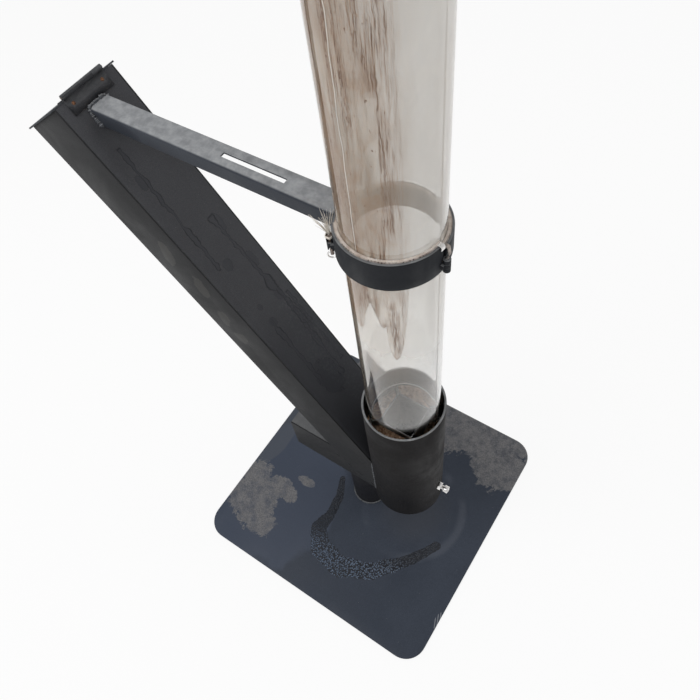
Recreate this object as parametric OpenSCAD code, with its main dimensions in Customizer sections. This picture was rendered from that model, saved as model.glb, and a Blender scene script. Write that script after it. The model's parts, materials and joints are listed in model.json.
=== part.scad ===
// Gravity-fed column stand: a square base and post carry a slanted feed chute, a round socket
// and a clear upright tube that a slotted arm and an opening collar hold.
// Millimetres, +Z up. The origin is the middle of the base plate's underside.
// The chute, the arm, the socket and the tube all lie on the plane y = 0.

/* [Base] */
// Side of the square base plate
base_w = 500; // [380:1:640]
// Thickness of the base plate
base_t = 4; // [3:0.5:8]
// Radius of the base plate's corners
base_r = 40; // [10:1:60]
// Outer diameter of the post
post_od = 68; // [50:1:84]
// Wall of the post
post_wall = 3; // [2:0.5:6]

/* [Feed box] */
// Outer width of the feed box and the chute
duct_w = 95; // [78:1:104]
// Thickness of the sheet that the box, chute and arm are made of
sheet_t = 2; // [1.5:0.5:3]
// Height of the feed box's underside above the ground
box_z = 194; // [160:1:240]
// Height of the feed box
box_h = 85; // [70:1:105]
// Reach of the feed box's tail behind the post's axis
tail_len = 118; // [90:1:150]
// Slope of the feed plate inside the box, from the level
feed_tilt = 34.4; // [28:0.2:38]
// Pitch of the feed plate's tabs
tab_pitch = 27; // [20:1:30]
// Length of a tab slot
tab_len = 7; // [5:0.5:10]

/* [Chute] */
// Lean of the chute from the upright
chute_tilt = 34.2; // [28:0.2:40]
// Depth of the chute, from its back plate to its front plate
chute_depth = 90; // [75:1:100]
// Length of the chute along its back plate
chute_len = 658; // [500:1:820]
// Distance behind the post's axis at which the back plate lands on the box
chute_foot = 30; // [20:1:45]

/* [Socket] */
// Outer diameter of the socket
socket_od = 122; // [116:1:148]
// Wall of the socket
socket_wall = 3; // [2:0.5:5]
// Height of the socket
socket_h = 322; // [280:1:400]
// Height of the socket's lower edge above the ground
socket_z = 168; // [130:1:180]
// Space between the socket and the post, which touch where this is 0
socket_off = 0; // [0:1:15]
// Height of the clamp screw above the socket's lower edge
screw_up = 71; // [60:1:80]

/* [Burner insert] */
// Height of the fire grate above the feed box's underside
grate_up = 14; // [10:1:18]
// Diameter of the air holes in the fire grate
air_hole_d = 6; // [4:0.5:8]
// Side of the square riser
riser_w = 55; // [45:1:60]
// Depth of the riser's top below the tube's lower edge
riser_drop = 5; // [2:1:12]
// Height of the riser's flange above the socket's lower edge
flange_up = 190; // [180:1:210]

/* [Clear tube] */
// Outer diameter of the clear tube
tube_od = 105; // [98:1:106]
// Wall of the clear tube
tube_wall = 3; // [2:0.5:4]
// Length of the clear tube
tube_len = 850; // [700:1:1000]
// Depth of the clear tube's lower edge below the socket's rim
tube_drop = 33; // [20:1:50]

/* [Arm and collar] */
// Height of the arm's top face above the ground
arm_z = 858; // [700:1:900]
// Width of the arm
arm_w = 29; // [22:1:40]
// Height of the arm
arm_h = 20; // [14:1:26]
// Length of the slot in the arm
slot_len = 86; // [60:1:110]
// Width of the slot in the arm
slot_w = 6.5; // [4.5:0.5:8]
// Distance from the slot's end to the tube's axis
slot_back = 129; // [110:1:140]
// Thickness of the collar's two bands
band_t = 2.5; // [2:0.5:4]
// Height of the front band
front_h = 37; // [30:1:45]
// Height of the rear band
rear_h = 28; // [24:1:34]
// Thickness of the fibre packing inside the bands
packing_t = 3.6; // [3:0.1:5]
// Angle of the collar's hinge, from the arm's far side
hinge_at = -4; // [-20:1:0]
// Angle of the collar's latch
latch_at = -145; // [-160:1:-130]
// Diameter of the collar's pins
pin_d = 4; // [3:0.5:5]
// Height of the stack of eyes at each of the collar's joints
stack_h = 17; // [14:1:24]

/* [Lid] */
// Thickness of the lid
lid_t = 2; // [1.5:0.5:4]
// Overhang of the lid at its sides and back
lid_over = 4; // [2:1:8]
// Width of the lid's hinge
hinge_w = 64; // [50:1:70]
// Length of each hinge leaf
leaf_len = 18; // [14:1:24]
// Thickness of a hinge leaf
leaf_t = 1.5; // [1:0.5:2]
// Radius of the hinge's knuckles
knuckle_r = 3.2; // [3:0.1:4]

/* [Fits] */
// Gap at a welded seam
seam_gap = 0.2; // [0.1:0.05:0.4]
// Gap beside a piece that moves
run_gap = 0.3; // [0.3:0.05:0.6]
// Radial clearance of a pin in its hole
pin_gap = 0.06; // [0.02:0.01:0.1]

/* [Hidden] */
$fn = 96;

// Common levels and radii
socket_x = (post_od + socket_od) / 2 + socket_off;
duct_in = duct_w - 2 * sheet_t;
box_top = box_z + box_h;
socket_r = socket_od / 2;
bore_r = socket_r - socket_wall;
socket_top = socket_z + socket_h;
tube_z = socket_top - tube_drop;
tube_r = tube_od / 2;
band_in = tube_r + run_gap + packing_t;
band_out = band_in + band_t;
collar_z = arm_z - (arm_h + rear_h) / 2;
floor_t = 3;

// Fire pot
pot_r = bore_r - 0.75;
pot_wall = 2;
pot_top = socket_z + screw_up + 16;
grate_z = box_z + grate_up;

// Riser and its fins
riser_t = 2;
fin_t = 2;
fin_z = socket_z + flange_up + riser_t;
riser_top = tube_z - riser_drop;
riser_in = riser_w - 2 * riser_t;
riser_corner = riser_w / sqrt(2) + seam_gap;
fill_levels = [45, 15, 30, 12];

// Clamp screw, M8
screw_d = 8;
nut_af = 13;
nut_t = 6.5;
head_d = 13;
head_t = 8;
head_stand = 5;
key_af = 6;
screw_z = socket_z + screw_up;

// Collar knuckles
eye_r = pin_d / 2 + 2;
eye_at = band_out + eye_r - 1;
eye_h = (stack_h - 2 * run_gap) / 3;
band_end = 2;
pin_over = 4;
ring_r = 5;
wire_r = 0.8;
ring_drop = 4;

// Lid hinge: its pin's place in the chute's own axes, and the knuckles' ends along the pin
lid_s = chute_len + seam_gap;
axis_u = chute_depth + knuckle_r;
axis_s = lid_s + lid_t + knuckle_r;
lid_pin_r = 1.5;
knuckle_ends = [-hinge_w / 2, -hinge_w / 12, hinge_w / 4, hinge_w / 2];
rivet_d = 3.2;
rivet_y = hinge_w * 0.37;
rivet_back = 6;

// Feed plate: where its upper edge meets the box's top plate
feed_x = -chute_foot - 25.5;
tab_end = 8;
tab_reach = (socket_x - sqrt(pow(socket_od / 2 + seam_gap, 2) - pow(duct_w / 2, 2)) - feed_x) / cos(feed_tilt);
tab_first = tab_reach - tab_end - 3 * tab_pitch;
tab_inset = 1.5;

// A point of the chute's outline: u is out from its back plate, s is up along it
function chute_at(u, s) = [
    -chute_foot + u * cos(chute_tilt) - s * sin(chute_tilt),
    box_top + u * sin(chute_tilt) + s * cos(chute_tilt)
];

// Height of the chute's front plane above the point x
function front_z(x) = chute_at(chute_depth, 0)[1] - (x - chute_at(chute_depth, 0)[0]) / tan(chute_tilt);

// The chute's own axes: X out from the back plate, Z up along the chute
module in_chute() {
    translate([-chute_foot, 0, box_top]) rotate([0, -chute_tilt, 0]) children();
}

// The feed plate's own axes: X down its slope, Z out of its upper face
module on_feed() {
    translate([feed_x, 0, box_top - sheet_t]) rotate([0, feed_tilt, 0]) children();
}

// The tube's axis, turned by an angle, at a height
module at_tube(angle, z) {
    translate([socket_x, 0, z]) rotate([0, 0, angle]) children();
}

// A box centred in Y, from x0 to x1 and z0 to z1
module bar(x0, x1, w, z0, z1) {
    translate([x0, -w / 2, z0]) cube([x1 - x0, w, z1 - z0]);
}

module ring(r_out, r_in, h) {
    difference() {
        cylinder(r = r_out, h = h);
        translate([0, 0, -1]) cylinder(r = r_in, h = h + 2);
    }
}

// Part of a ring, from one angle to another
module arc_band(r_in, r_out, h, from, to) {
    rotate([0, 0, from]) rotate_extrude(angle = to - from) translate([r_in, 0]) square([r_out - r_in, h]);
}

// The room that the socket takes out of what is welded to it
module socket_room() {
    translate([socket_x, 0, 0]) cylinder(r = socket_r + seam_gap, h = chute_len * 2);
}

// A square with round corners
module round_square(w, r) {
    square([w, w - 2 * r], center = true);
    square([w - 2 * r, w], center = true);
    for (x = [-1, 1], y = [-1, 1]) translate([x * (w / 2 - r), y * (w / 2 - r)]) circle(r);
}

// The outline of a folded angle, before its inside is taken out: level on top, round at the fold
module fold_outline(w, h, r) {
    translate([0, -h]) square([w, h - r]);
    translate([r, -h]) square([w - r, h]);
    translate([r, -r]) circle(r);
}

module base_plate() {
    color("darkslategray") linear_extrude(base_t) round_square(base_w, base_r);
}

module post() {
    color("dimgray") translate([0, 0, base_t]) ring(post_od / 2, post_od / 2 - post_wall, box_z - base_t);
}

// One sheet is the side of both the feed box and the chute
module side_outline() {
    polygon([
        [-tail_len, box_z], [socket_x, box_z], [socket_x, front_z(socket_x)],
        chute_at(chute_depth, chute_len), chute_at(0, chute_len),
        [-chute_foot, box_top], [-tail_len, box_top]
    ]);
}

module side_plate(inner_y) {
    difference() {
        translate([0, inner_y, 0]) rotate([90, 0, 0]) linear_extrude(sheet_t) side_outline();
        socket_room();
        on_feed() for (i = [0:3]) translate([tab_first + i * tab_pitch, 0, -sheet_t / 2])
            cube([tab_len, duct_w * 2, sheet_t + 2 * seam_gap], center = true);
    }
}

module left_side_plate() {
    color("dimgray") side_plate(-duct_w / 2 + sheet_t);
}

module right_side_plate() {
    color("dimgray") side_plate(duct_w / 2);
}

module chute_front_plate() {
    w = duct_in - 2 * seam_gap;
    color("darkslategray") difference() {
        in_chute() bar(chute_depth - sheet_t, chute_depth, w, -socket_r, chute_len);
        socket_room();
        in_chute() rivet_holes();
    }
}

module chute_back_plate() {
    color("dimgray") in_chute() bar(0, sheet_t, duct_in - 2 * seam_gap, 0, chute_len);
}

module box_top_plate() {
    color("dimgray") bar(-tail_len, -chute_foot, duct_in - 2 * seam_gap, box_top - sheet_t, box_top);
}

module box_floor_plate() {
    color("dimgray") difference() {
        bar(-tail_len, socket_x, duct_in - 2 * seam_gap, box_z, box_z + sheet_t);
        socket_room();
    }
}

// The sloping plate that the fuel slides down; its tabs sit in the side plates' slots
module feed_plate() {
    color("gray") difference() {
        on_feed() {
            bar(0, 2 * socket_x, duct_in - 2 * seam_gap, -sheet_t, 0);
            for (i = [0:3]) translate([tab_first + i * tab_pitch, 0, -sheet_t / 2])
                cube([tab_len - 2 * seam_gap, duct_w - 2 * tab_inset, sheet_t], center = true);
        }
        socket_room();
    }
}

// What the chute and the box open in the socket's wall
module feed_window() {
    intersection() {
        union() {
            in_chute() bar(sheet_t, chute_depth - sheet_t, duct_in, -chute_len, chute_depth);
            bar(-tail_len, socket_x, duct_in, box_z + sheet_t, box_top - sheet_t);
        }
        bar(-tail_len, socket_x, duct_w, box_z + sheet_t, socket_top);
    }
}

module socket() {
    color("black") difference() {
        translate([socket_x, 0, socket_z]) ring(socket_r, bore_r, socket_h);
        feed_window();
        translate([socket_x, 0, screw_z]) rotate([0, 90, 0])
            cylinder(d = screw_d + 2 * pin_gap, h = socket_od);
    }
}

module socket_floor() {
    color("dimgray") translate([socket_x, 0, socket_z]) cylinder(r = bore_r - seam_gap, h = floor_t);
}

// A cup with a raised fire grate, open towards the feed box
module fire_pot() {
    color("gray") {
        difference() {
            translate([socket_x, 0, socket_z + floor_t])
                ring(pot_r, pot_r - pot_wall, pot_top - socket_z - floor_t);
            bar(-tail_len, socket_x - pot_r / 2, duct_in, box_z + sheet_t, socket_top);
        }
        difference() {
            translate([socket_x, 0, grate_z]) cylinder(r = pot_r - pot_wall / 2, h = pot_wall);
            for (n = [0:2], i = [0:max(0, 6 * n - 1)]) at_tube(60 * i / max(n, 1), grate_z - 1)
                translate([16 * n, 0, 0]) cylinder(d = air_hole_d, h = pot_wall + 2);
        }
    }
}

module on_screw(x) {
    translate([socket_x + x, 0, screw_z]) rotate([0, 90, 0]) children();
}

module clamp_nut() {
    color("silver") difference() {
        on_screw(socket_r) rotate([0, 0, 30]) cylinder(d = nut_af / cos(30), h = nut_t, $fn = 6);
        on_screw(bore_r) cylinder(d = screw_d + 2 * pin_gap, h = socket_od);
    }
}

module clamp_screw() {
    head_x = socket_r + nut_t + head_stand;
    color("silver") difference() {
        union() {
            on_screw(pot_r) cylinder(d = screw_d, h = head_x - pot_r);
            on_screw(head_x) cylinder(d = head_d, h = head_t);
        }
        on_screw(head_x + head_t / 2) cylinder(d = key_af / cos(30), h = head_t, $fn = 6);
    }
}

module riser_flange() {
    color("gray") difference() {
        translate([socket_x, 0, fin_z - riser_t]) cylinder(r = bore_r - seam_gap, h = riser_t);
        bar(socket_x - riser_in / 2, socket_x + riser_in / 2, riser_in, 0, socket_top);
    }
}

module riser() {
    color("gray") difference() {
        bar(socket_x - riser_w / 2, socket_x + riser_w / 2, riser_w, fin_z, riser_top);
        bar(socket_x - riser_in / 2, socket_x + riser_in / 2, riser_in, 0, socket_top);
    }
}

// Four upright fins from the riser's corners to the socket; the clear tube stands on them
module corner_fins() {
    color("dimgray") for (a = [45:90:315]) at_tube(a, fin_z)
        bar(riser_corner, bore_r - seam_gap, fin_t, 0, tube_z - fin_z);
}

// Loose insulating granules between the riser and the socket, at a different level on each side
module granule_fill() {
    gap = 2 * run_gap;
    color("peru") for (i = [0:3]) difference() {
        at_tube(90 * i, fin_z + run_gap) cylinder(r = bore_r - gap, h = riser_top - fin_z - fill_levels[i]);
        at_tube(90 * i, 0) bar(-socket_od, riser_w / 2 + gap, socket_od * 2, 0, socket_top);
        for (a = [-45, 45]) at_tube(90 * i + a, 0) bar(0, socket_od, fin_t + 2 * gap, 0, socket_top);
        for (s = [-1, 1]) at_tube(90 * i + s * 45, 0)
            translate([0, s > 0 ? 0 : -socket_od, 0]) cube([socket_od, socket_od, socket_top]);
    }
}

module clear_tube() {
    color("lightgray", 0.5) translate([socket_x, 0, tube_z]) ring(tube_r, tube_r - tube_wall, tube_len);
}

module support_arm() {
    edge_r = 2 * sheet_t;
    slot_end = socket_x - slot_back;
    color("slategray") difference() {
        translate([-chute_len, -arm_w / 2, arm_z]) rotate([90, 0, 90])
            linear_extrude(chute_len + socket_x) difference() {
            fold_outline(arm_w, arm_h, edge_r);
            translate([sheet_t, -sheet_t]) fold_outline(arm_w, arm_h, edge_r - sheet_t);
        }
        in_chute() bar(-chute_len, chute_depth + seam_gap, duct_w, -chute_len, 2 * chute_len);
        translate([socket_x, 0, 0]) cylinder(r = band_out + seam_gap, h = 2 * arm_z);
        bar(slot_end - slot_len, slot_end, slot_w, arm_z - arm_h, arm_z + 1);
    }
}

// An eye on the collar: n is its place up the pin, from 0 at the bottom; side is where its root runs
module eye(angle, n, side) {
    root = eye_r * 1.6;
    at_tube(angle, collar_z + n * (eye_h + run_gap)) difference() {
        union() {
            translate([eye_at, 0, 0]) cylinder(r = eye_r, h = eye_h);
            translate([band_out - 1, side > 0 ? 0 : -root, 0]) cube([eye_r, root, eye_h]);
        }
        translate([eye_at, 0, -1]) cylinder(d = pin_d + 2 * pin_gap, h = eye_h + 2);
    }
}

// What a band gives up beside the other band's eyes
module eye_room(angle, n) {
    at_tube(angle, collar_z + n * (eye_h + run_gap) - run_gap) translate([eye_at, 0, 0])
        cylinder(r = eye_r + run_gap, h = eye_h + 2 * run_gap);
}

// The rear band's latch eyes are hooks: the pin leaves them through this mouth, on its way round the hinge
module latch_mouth() {
    at_tube(latch_at, 0) translate([eye_at, 0, 0]) rotate([0, 0, 90 - (180 + latch_at - hinge_at) / 2])
        translate([0, -pin_d / 2 - run_gap, 0]) cube([3 * eye_r, pin_d + 2 * run_gap, 2 * arm_z]);
}

// Angle that a length spans at the bands' outer face
function span(length) = length / band_out * 180 / PI;

module rear_band() {
    color("black") difference() {
        union() {
            at_tube(0, collar_z)
                arc_band(band_in, band_out, rear_h, hinge_at + span(band_end), latch_at + 360 - span(band_end));
            for (n = [0, 2]) {
                eye(hinge_at, n, 1);
                eye(latch_at, n, -1);
            }
        }
        for (a = [hinge_at, latch_at]) {
            eye_room(a, 1);
            at_tube(a, 0) translate([eye_at, 0, 0]) cylinder(d = pin_d + 2 * pin_gap, h = 2 * arm_z);
        }
        latch_mouth();
    }
}

module front_band() {
    color("black") difference() {
        union() {
            at_tube(0, collar_z)
                arc_band(band_in, band_out, front_h, latch_at + span(band_end), hinge_at - span(band_end));
            eye(hinge_at, 1, -1);
            eye(latch_at, 1, 1);
        }
        for (a = [hinge_at, latch_at]) {
            eye_room(a, 0);
            eye_room(a, 2);
            at_tube(a, 0) translate([eye_at, 0, 0]) cylinder(d = pin_d + 2 * pin_gap, h = 2 * arm_z);
        }
    }
}

module collar_hinge_pin() {
    color("silver") at_tube(hinge_at, collar_z - pin_over / 2) translate([eye_at, 0, 0])
        cylinder(d = pin_d, h = stack_h + pin_over);
}

// A headed pin: its tail below the collar has a cross hole for the wire ring
module latch_pin() {
    tail = 2 * ring_drop;
    color("dimgray") at_tube(latch_at, collar_z - tail) translate([eye_at, 0, 0]) difference() {
        union() {
            cylinder(d = pin_d, h = stack_h + tail + pin_gap);
            translate([0, 0, stack_h + tail + pin_gap]) cylinder(r = eye_r - 0.5, h = pin_d / 2);
        }
        translate([0, 0, ring_drop]) rotate([0, 90, 0])
            cylinder(r = wire_r + run_gap, h = 2 * pin_d, center = true);
    }
}

// The ring hangs in the cross hole
module latch_ring() {
    color("dimgray") at_tube(latch_at, collar_z - ring_drop - ring_r + run_gap / 2) translate([eye_at, 0, 0])
        rotate([90, 0, 0]) rotate_extrude() translate([ring_r, 0]) circle(r = wire_r);
}

// Packing stands a little above its band
packing_over = 1.2;

module rear_packing() {
    color("tan") at_tube(0, collar_z) arc_band(tube_r + run_gap, band_in, rear_h + packing_over,
        hinge_at + span(1.5), latch_at + 360 - span(1.5));
}

module front_packing() {
    color("tan") at_tube(0, collar_z) arc_band(tube_r + run_gap, band_in, front_h + packing_over,
        latch_at + span(1.5), hinge_at - span(1.5));
}

// Upright part of a knuckle row: y from one end to the next, with the running gap taken off
module knuckle(n) {
    y0 = knuckle_ends[n] + (n > 0 ? run_gap / 2 : 0);
    y1 = knuckle_ends[n + 1] - (n < 2 ? run_gap / 2 : 0);
    translate([axis_u, y0, axis_s]) rotate([-90, 0, 0]) cylinder(r = knuckle_r, h = y1 - y0);
}

module hinge_bore() {
    translate([axis_u, 0, axis_s]) rotate([90, 0, 0])
        cylinder(r = lid_pin_r + pin_gap, h = 2 * hinge_w, center = true);
}

module rivet_holes() {
    for (y = [-rivet_y, rivet_y])
        translate([chute_depth - sheet_t - 1, y, chute_len - rivet_back]) rotate([0, 90, 0])
        cylinder(d = rivet_d + 2 * pin_gap, h = sheet_t + leaf_t + 2);
}

// The leaf on the chute, with the outer two knuckles
module chute_hinge_leaf() {
    mid0 = knuckle_ends[1];
    mid1 = knuckle_ends[2];
    color("black") in_chute() difference() {
        union() {
            translate([chute_depth, -hinge_w / 2, chute_len - leaf_len])
                cube([leaf_t, hinge_w, leaf_len + axis_s - chute_len]);
            knuckle(0);
            knuckle(2);
        }
        translate([chute_depth - 1, mid0 - run_gap / 2, axis_s - knuckle_r - run_gap])
            cube([leaf_t + knuckle_r * 2, mid1 - mid0 + run_gap, knuckle_r * 3]);
        hinge_bore();
        rivet_holes();
    }
}

// The leaf on the lid, with the middle knuckle
module lid_hinge_leaf() {
    color("black") in_chute() difference() {
        union() {
            translate([chute_depth - leaf_len, -hinge_w / 2, lid_s + lid_t])
                cube([leaf_len - run_gap, hinge_w, leaf_t]);
            translate([chute_depth - leaf_t, knuckle_ends[1] + run_gap / 2, lid_s + lid_t])
                cube([leaf_t + knuckle_r, knuckle_ends[2] - knuckle_ends[1] - run_gap, leaf_t]);
            knuckle(1);
        }
        hinge_bore();
        lid_rivet_holes();
    }
}

module lid_hinge_pin() {
    color("silver") in_chute() translate([axis_u, 0, axis_s]) rotate([90, 0, 0])
        cylinder(r = lid_pin_r, h = hinge_w + 2, center = true);
}

module lid_rivet_holes() {
    for (y = [-rivet_y, rivet_y]) translate([chute_depth - 2 * rivet_back, y, lid_s - 1])
        cylinder(d = rivet_d + 2 * pin_gap, h = lid_t + leaf_t + 2);
}

// A rivet along +Z: its head stands on the leaf, and its shank ends flush inside
module rivet(grip) {
    translate([0, 0, -grip]) cylinder(d = rivet_d, h = grip);
    intersection() {
        cylinder(r = rivet_d * 0.8, h = 1);
        translate([0, 0, 1 - rivet_d]) sphere(r = rivet_d);
    }
}

module chute_leaf_rivets() {
    color("sienna") in_chute() for (y = [-rivet_y, rivet_y])
        translate([chute_depth + leaf_t, y, chute_len - rivet_back]) rotate([0, 90, 0]) rivet(sheet_t + leaf_t);
}

module lid_leaf_rivets() {
    color("sienna") in_chute() for (y = [-rivet_y, rivet_y])
        translate([chute_depth - 2 * rivet_back, y, lid_s + lid_t + leaf_t]) rivet(lid_t + leaf_t);
}

module lid() {
    color("darkslategray") in_chute() difference() {
        bar(-lid_over, chute_depth - run_gap, duct_w + 2 * lid_over, lid_s, lid_s + lid_t);
        lid_rivet_holes();
    }
}

base_plate();
post();
left_side_plate();
right_side_plate();
chute_front_plate();
chute_back_plate();
box_top_plate();
box_floor_plate();
feed_plate();
socket();
socket_floor();
fire_pot();
clamp_nut();
clamp_screw();
riser_flange();
riser();
corner_fins();
granule_fill();
clear_tube();
support_arm();
rear_band();
front_band();
collar_hinge_pin();
latch_pin();
latch_ring();
rear_packing();
front_packing();
chute_hinge_leaf();
lid_hinge_leaf();
lid_hinge_pin();
chute_leaf_rivets();
lid();
lid_leaf_rivets();
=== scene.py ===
"""Looks for the gravity-fed column stand: coatings, water marks, smoke film, welds, packing and thread."""
import json
import math
import random

import bmesh
import bpy
from mathutils import Matrix, Vector

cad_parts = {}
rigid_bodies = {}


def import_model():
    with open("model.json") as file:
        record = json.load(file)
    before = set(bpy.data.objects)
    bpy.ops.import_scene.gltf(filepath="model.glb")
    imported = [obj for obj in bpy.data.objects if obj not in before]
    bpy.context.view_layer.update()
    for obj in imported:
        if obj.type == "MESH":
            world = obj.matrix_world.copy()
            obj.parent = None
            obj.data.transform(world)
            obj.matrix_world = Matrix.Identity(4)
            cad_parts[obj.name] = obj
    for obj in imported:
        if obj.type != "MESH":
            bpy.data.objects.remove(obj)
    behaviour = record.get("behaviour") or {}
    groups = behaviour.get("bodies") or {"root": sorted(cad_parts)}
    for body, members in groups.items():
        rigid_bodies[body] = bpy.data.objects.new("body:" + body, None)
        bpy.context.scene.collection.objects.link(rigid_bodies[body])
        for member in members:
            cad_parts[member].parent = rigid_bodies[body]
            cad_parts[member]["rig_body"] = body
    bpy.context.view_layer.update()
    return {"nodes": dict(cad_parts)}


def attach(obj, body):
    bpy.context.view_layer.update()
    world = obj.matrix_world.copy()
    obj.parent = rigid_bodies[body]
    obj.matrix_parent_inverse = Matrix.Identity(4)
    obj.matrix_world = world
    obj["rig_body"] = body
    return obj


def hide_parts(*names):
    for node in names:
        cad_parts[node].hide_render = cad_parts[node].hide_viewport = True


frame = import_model()
NODES = frame["nodes"]

# ---------------------------------------------------------------- camera

EYE = (0.33995, -0.35968, 1.33880)
RIGHT = Vector((0.83088, 0.54837, -0.09453))
DOWN = Vector((0.42878, -0.73921, -0.51934))
AHEAD = Vector((-0.35467, 0.39098, -0.84932))
LENS_MM = 34.128
SHIFT = (-0.00271, 0.00438)


def place_camera():
    data = bpy.data.cameras.new("camera")
    data.sensor_width = 36.0
    data.lens = LENS_MM
    data.shift_x, data.shift_y = SHIFT
    data.clip_start, data.clip_end = 0.01, 60.0
    camera = bpy.data.objects.new("camera", data)
    bpy.context.scene.collection.objects.link(camera)
    turn = Matrix((RIGHT, -DOWN, -AHEAD)).transposed().to_4x4()
    camera.matrix_world = Matrix.Translation(EYE) @ turn
    bpy.context.scene.camera = camera


place_camera()

# ---------------------------------------------------------------- dimensions of the stand, in metres

PLATE_T = 0.004
CHUTE_TILT = math.radians(34.2)
CHUTE_FOOT = (-0.030, 0.279)
CHUTE_DEPTH = 0.090
CHUTE_LEN = 0.658
DUCT_W = 0.095
BOX_TAIL = -0.118
BOX_Z = (0.194, 0.279)
POST_R = 0.034
SOCKET_X = 0.095
SOCKET_R = 0.061
SOCKET_Z = (0.168, 0.490)
TUBE_R = 0.0525
TUBE_WALL = 0.003
TUBE_Z = (0.457, 1.307)
ARM_Z = (0.838, 0.858)
ARM_W = 0.029
COLLAR_Z = 0.834
BAND_R = 0.0589
EYE_AT = 0.0619
LATCH_AT = math.radians(-145)
HINGE_AT = math.radians(-4)
STACK_H = 0.017
KNOT_Z = COLLAR_Z + STACK_H + 0.0022


def chute_point(u, y, s):
    """A point from the chute's own axes: u out from its back plate, s up along it."""
    cos, sin = math.cos(CHUTE_TILT), math.sin(CHUTE_TILT)
    return Vector((CHUTE_FOOT[0] + u * cos - s * sin, y, CHUTE_FOOT[1] + u * sin + s * cos))


def collar_point(angle, radius, z):
    return Vector((SOCKET_X + radius * math.cos(angle), radius * math.sin(angle), z))


# ---------------------------------------------------------------- shader building

def put(tree, kind, inputs=None, **props):
    """Adds a node; inputs maps a socket's name or number to a value or to another node's socket."""
    node = tree.nodes.new("ShaderNode" + kind)
    for key, value in props.items():
        setattr(node, key, value)
    for key, value in (inputs or {}).items():
        if isinstance(value, bpy.types.NodeSocket):
            tree.links.new(value, node.inputs[key])
        else:
            node.inputs[key].default_value = value
    return node


def calc(tree, op, a, b=0.0, c=0.0, clamp=False):
    return put(tree, "Math", {0: a, 1: b, 2: c}, operation=op, use_clamp=clamp).outputs[0]


def blend_colour(tree, share, low, high, how="MIX"):
    node = put(tree, "Mix", {0: share, 6: low, 7: high}, data_type="RGBA", blend_type=how)
    return node.outputs[2]


def step_up(tree, value, low, high, to=(0.0, 1.0)):
    """Rises smoothly from to[0] at low to to[1] at high."""
    inputs = {"Value": value, "From Min": low, "From Max": high, "To Min": to[0], "To Max": to[1]}
    return put(tree, "MapRange", inputs, interpolation_type="SMOOTHSTEP").outputs[0]


def grain(tree, where, scale, detail=2.0, rough=0.5, bend=0.0):
    inputs = {"Vector": where, "Scale": scale, "Detail": detail, "Roughness": rough, "Distortion": bend}
    return put(tree, "TexNoise", inputs).outputs[0]


def cells(tree, where, scale, feature="F1", spread=1.0):
    node = put(tree, "TexVoronoi", {"Vector": where, "Scale": scale, "Randomness": spread}, feature=feature)
    return node.outputs["Distance"]


def stretch(tree, where, scale=(1, 1, 1), move=(0, 0, 0), turn=(0, 0, 0)):
    inputs = {"Vector": where, "Location": move, "Rotation": turn, "Scale": scale}
    return put(tree, "Mapping", inputs).outputs[0]


def split(tree, where):
    return put(tree, "SeparateXYZ", {0: where}).outputs


def join(tree, x, y, z=0.0):
    return put(tree, "CombineXYZ", {0: x, 1: y, 2: z}).outputs[0]


def length(tree, x, y, z=0.0):
    return put(tree, "VectorMath", {0: join(tree, x, y, z)}, operation="LENGTH").outputs["Value"]


def group(name, inputs, outputs):
    """An empty shader group with named sockets; returns it with its input sockets and its output node."""
    tree = bpy.data.node_groups.new(name, "ShaderNodeTree")
    for label, kind, value in inputs:
        socket = tree.interface.new_socket(label, in_out="INPUT", socket_type="NodeSocket" + kind)
        if value is not None:
            socket.default_value = value
    for label, kind in outputs:
        tree.interface.new_socket(label, in_out="OUTPUT", socket_type="NodeSocket" + kind)
    return tree, tree.nodes.new("NodeGroupInput").outputs, tree.nodes.new("NodeGroupOutput").inputs


def use(tree, made, inputs):
    node = tree.nodes.new("ShaderNodeGroup")
    node.node_tree = made
    for key, value in inputs.items():
        if isinstance(value, bpy.types.NodeSocket):
            tree.links.new(value, node.inputs[key])
        else:
            node.inputs[key].default_value = value
    return node.outputs


def material(name, rough=0.5, metallic=0.0, **sockets):
    """A material with one Principled shader; returns it with its tree, its shader and object coordinates."""
    made = bpy.data.materials.new(name)
    made.use_nodes = True
    tree = made.node_tree
    tree.nodes.clear()
    shader = put(tree, "BsdfPrincipled", {"Roughness": rough, "Metallic": metallic, **sockets})
    out = tree.nodes.new("ShaderNodeOutputMaterial")
    tree.links.new(shader.outputs[0], out.inputs[0])
    where = tree.nodes.new("ShaderNodeTexCoord").outputs["Object"]
    return made, tree, shader, where


def wire(tree, shader, colour=None, rough=None, height=None, bump=0.3, depth=0.001, metallic=None):
    if colour is not None:
        tree.links.new(colour, shader.inputs["Base Color"])
    if rough is not None:
        tree.links.new(rough, shader.inputs["Roughness"])
    if metallic is not None:
        tree.links.new(metallic, shader.inputs["Metallic"])
    if height is not None:
        inputs = {"Height": height, "Strength": bump, "Distance": depth}
        tree.links.new(put(tree, "Bump", inputs).outputs[0], shader.inputs["Normal"])


# ---------------------------------------------------------------- shared effects

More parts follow.
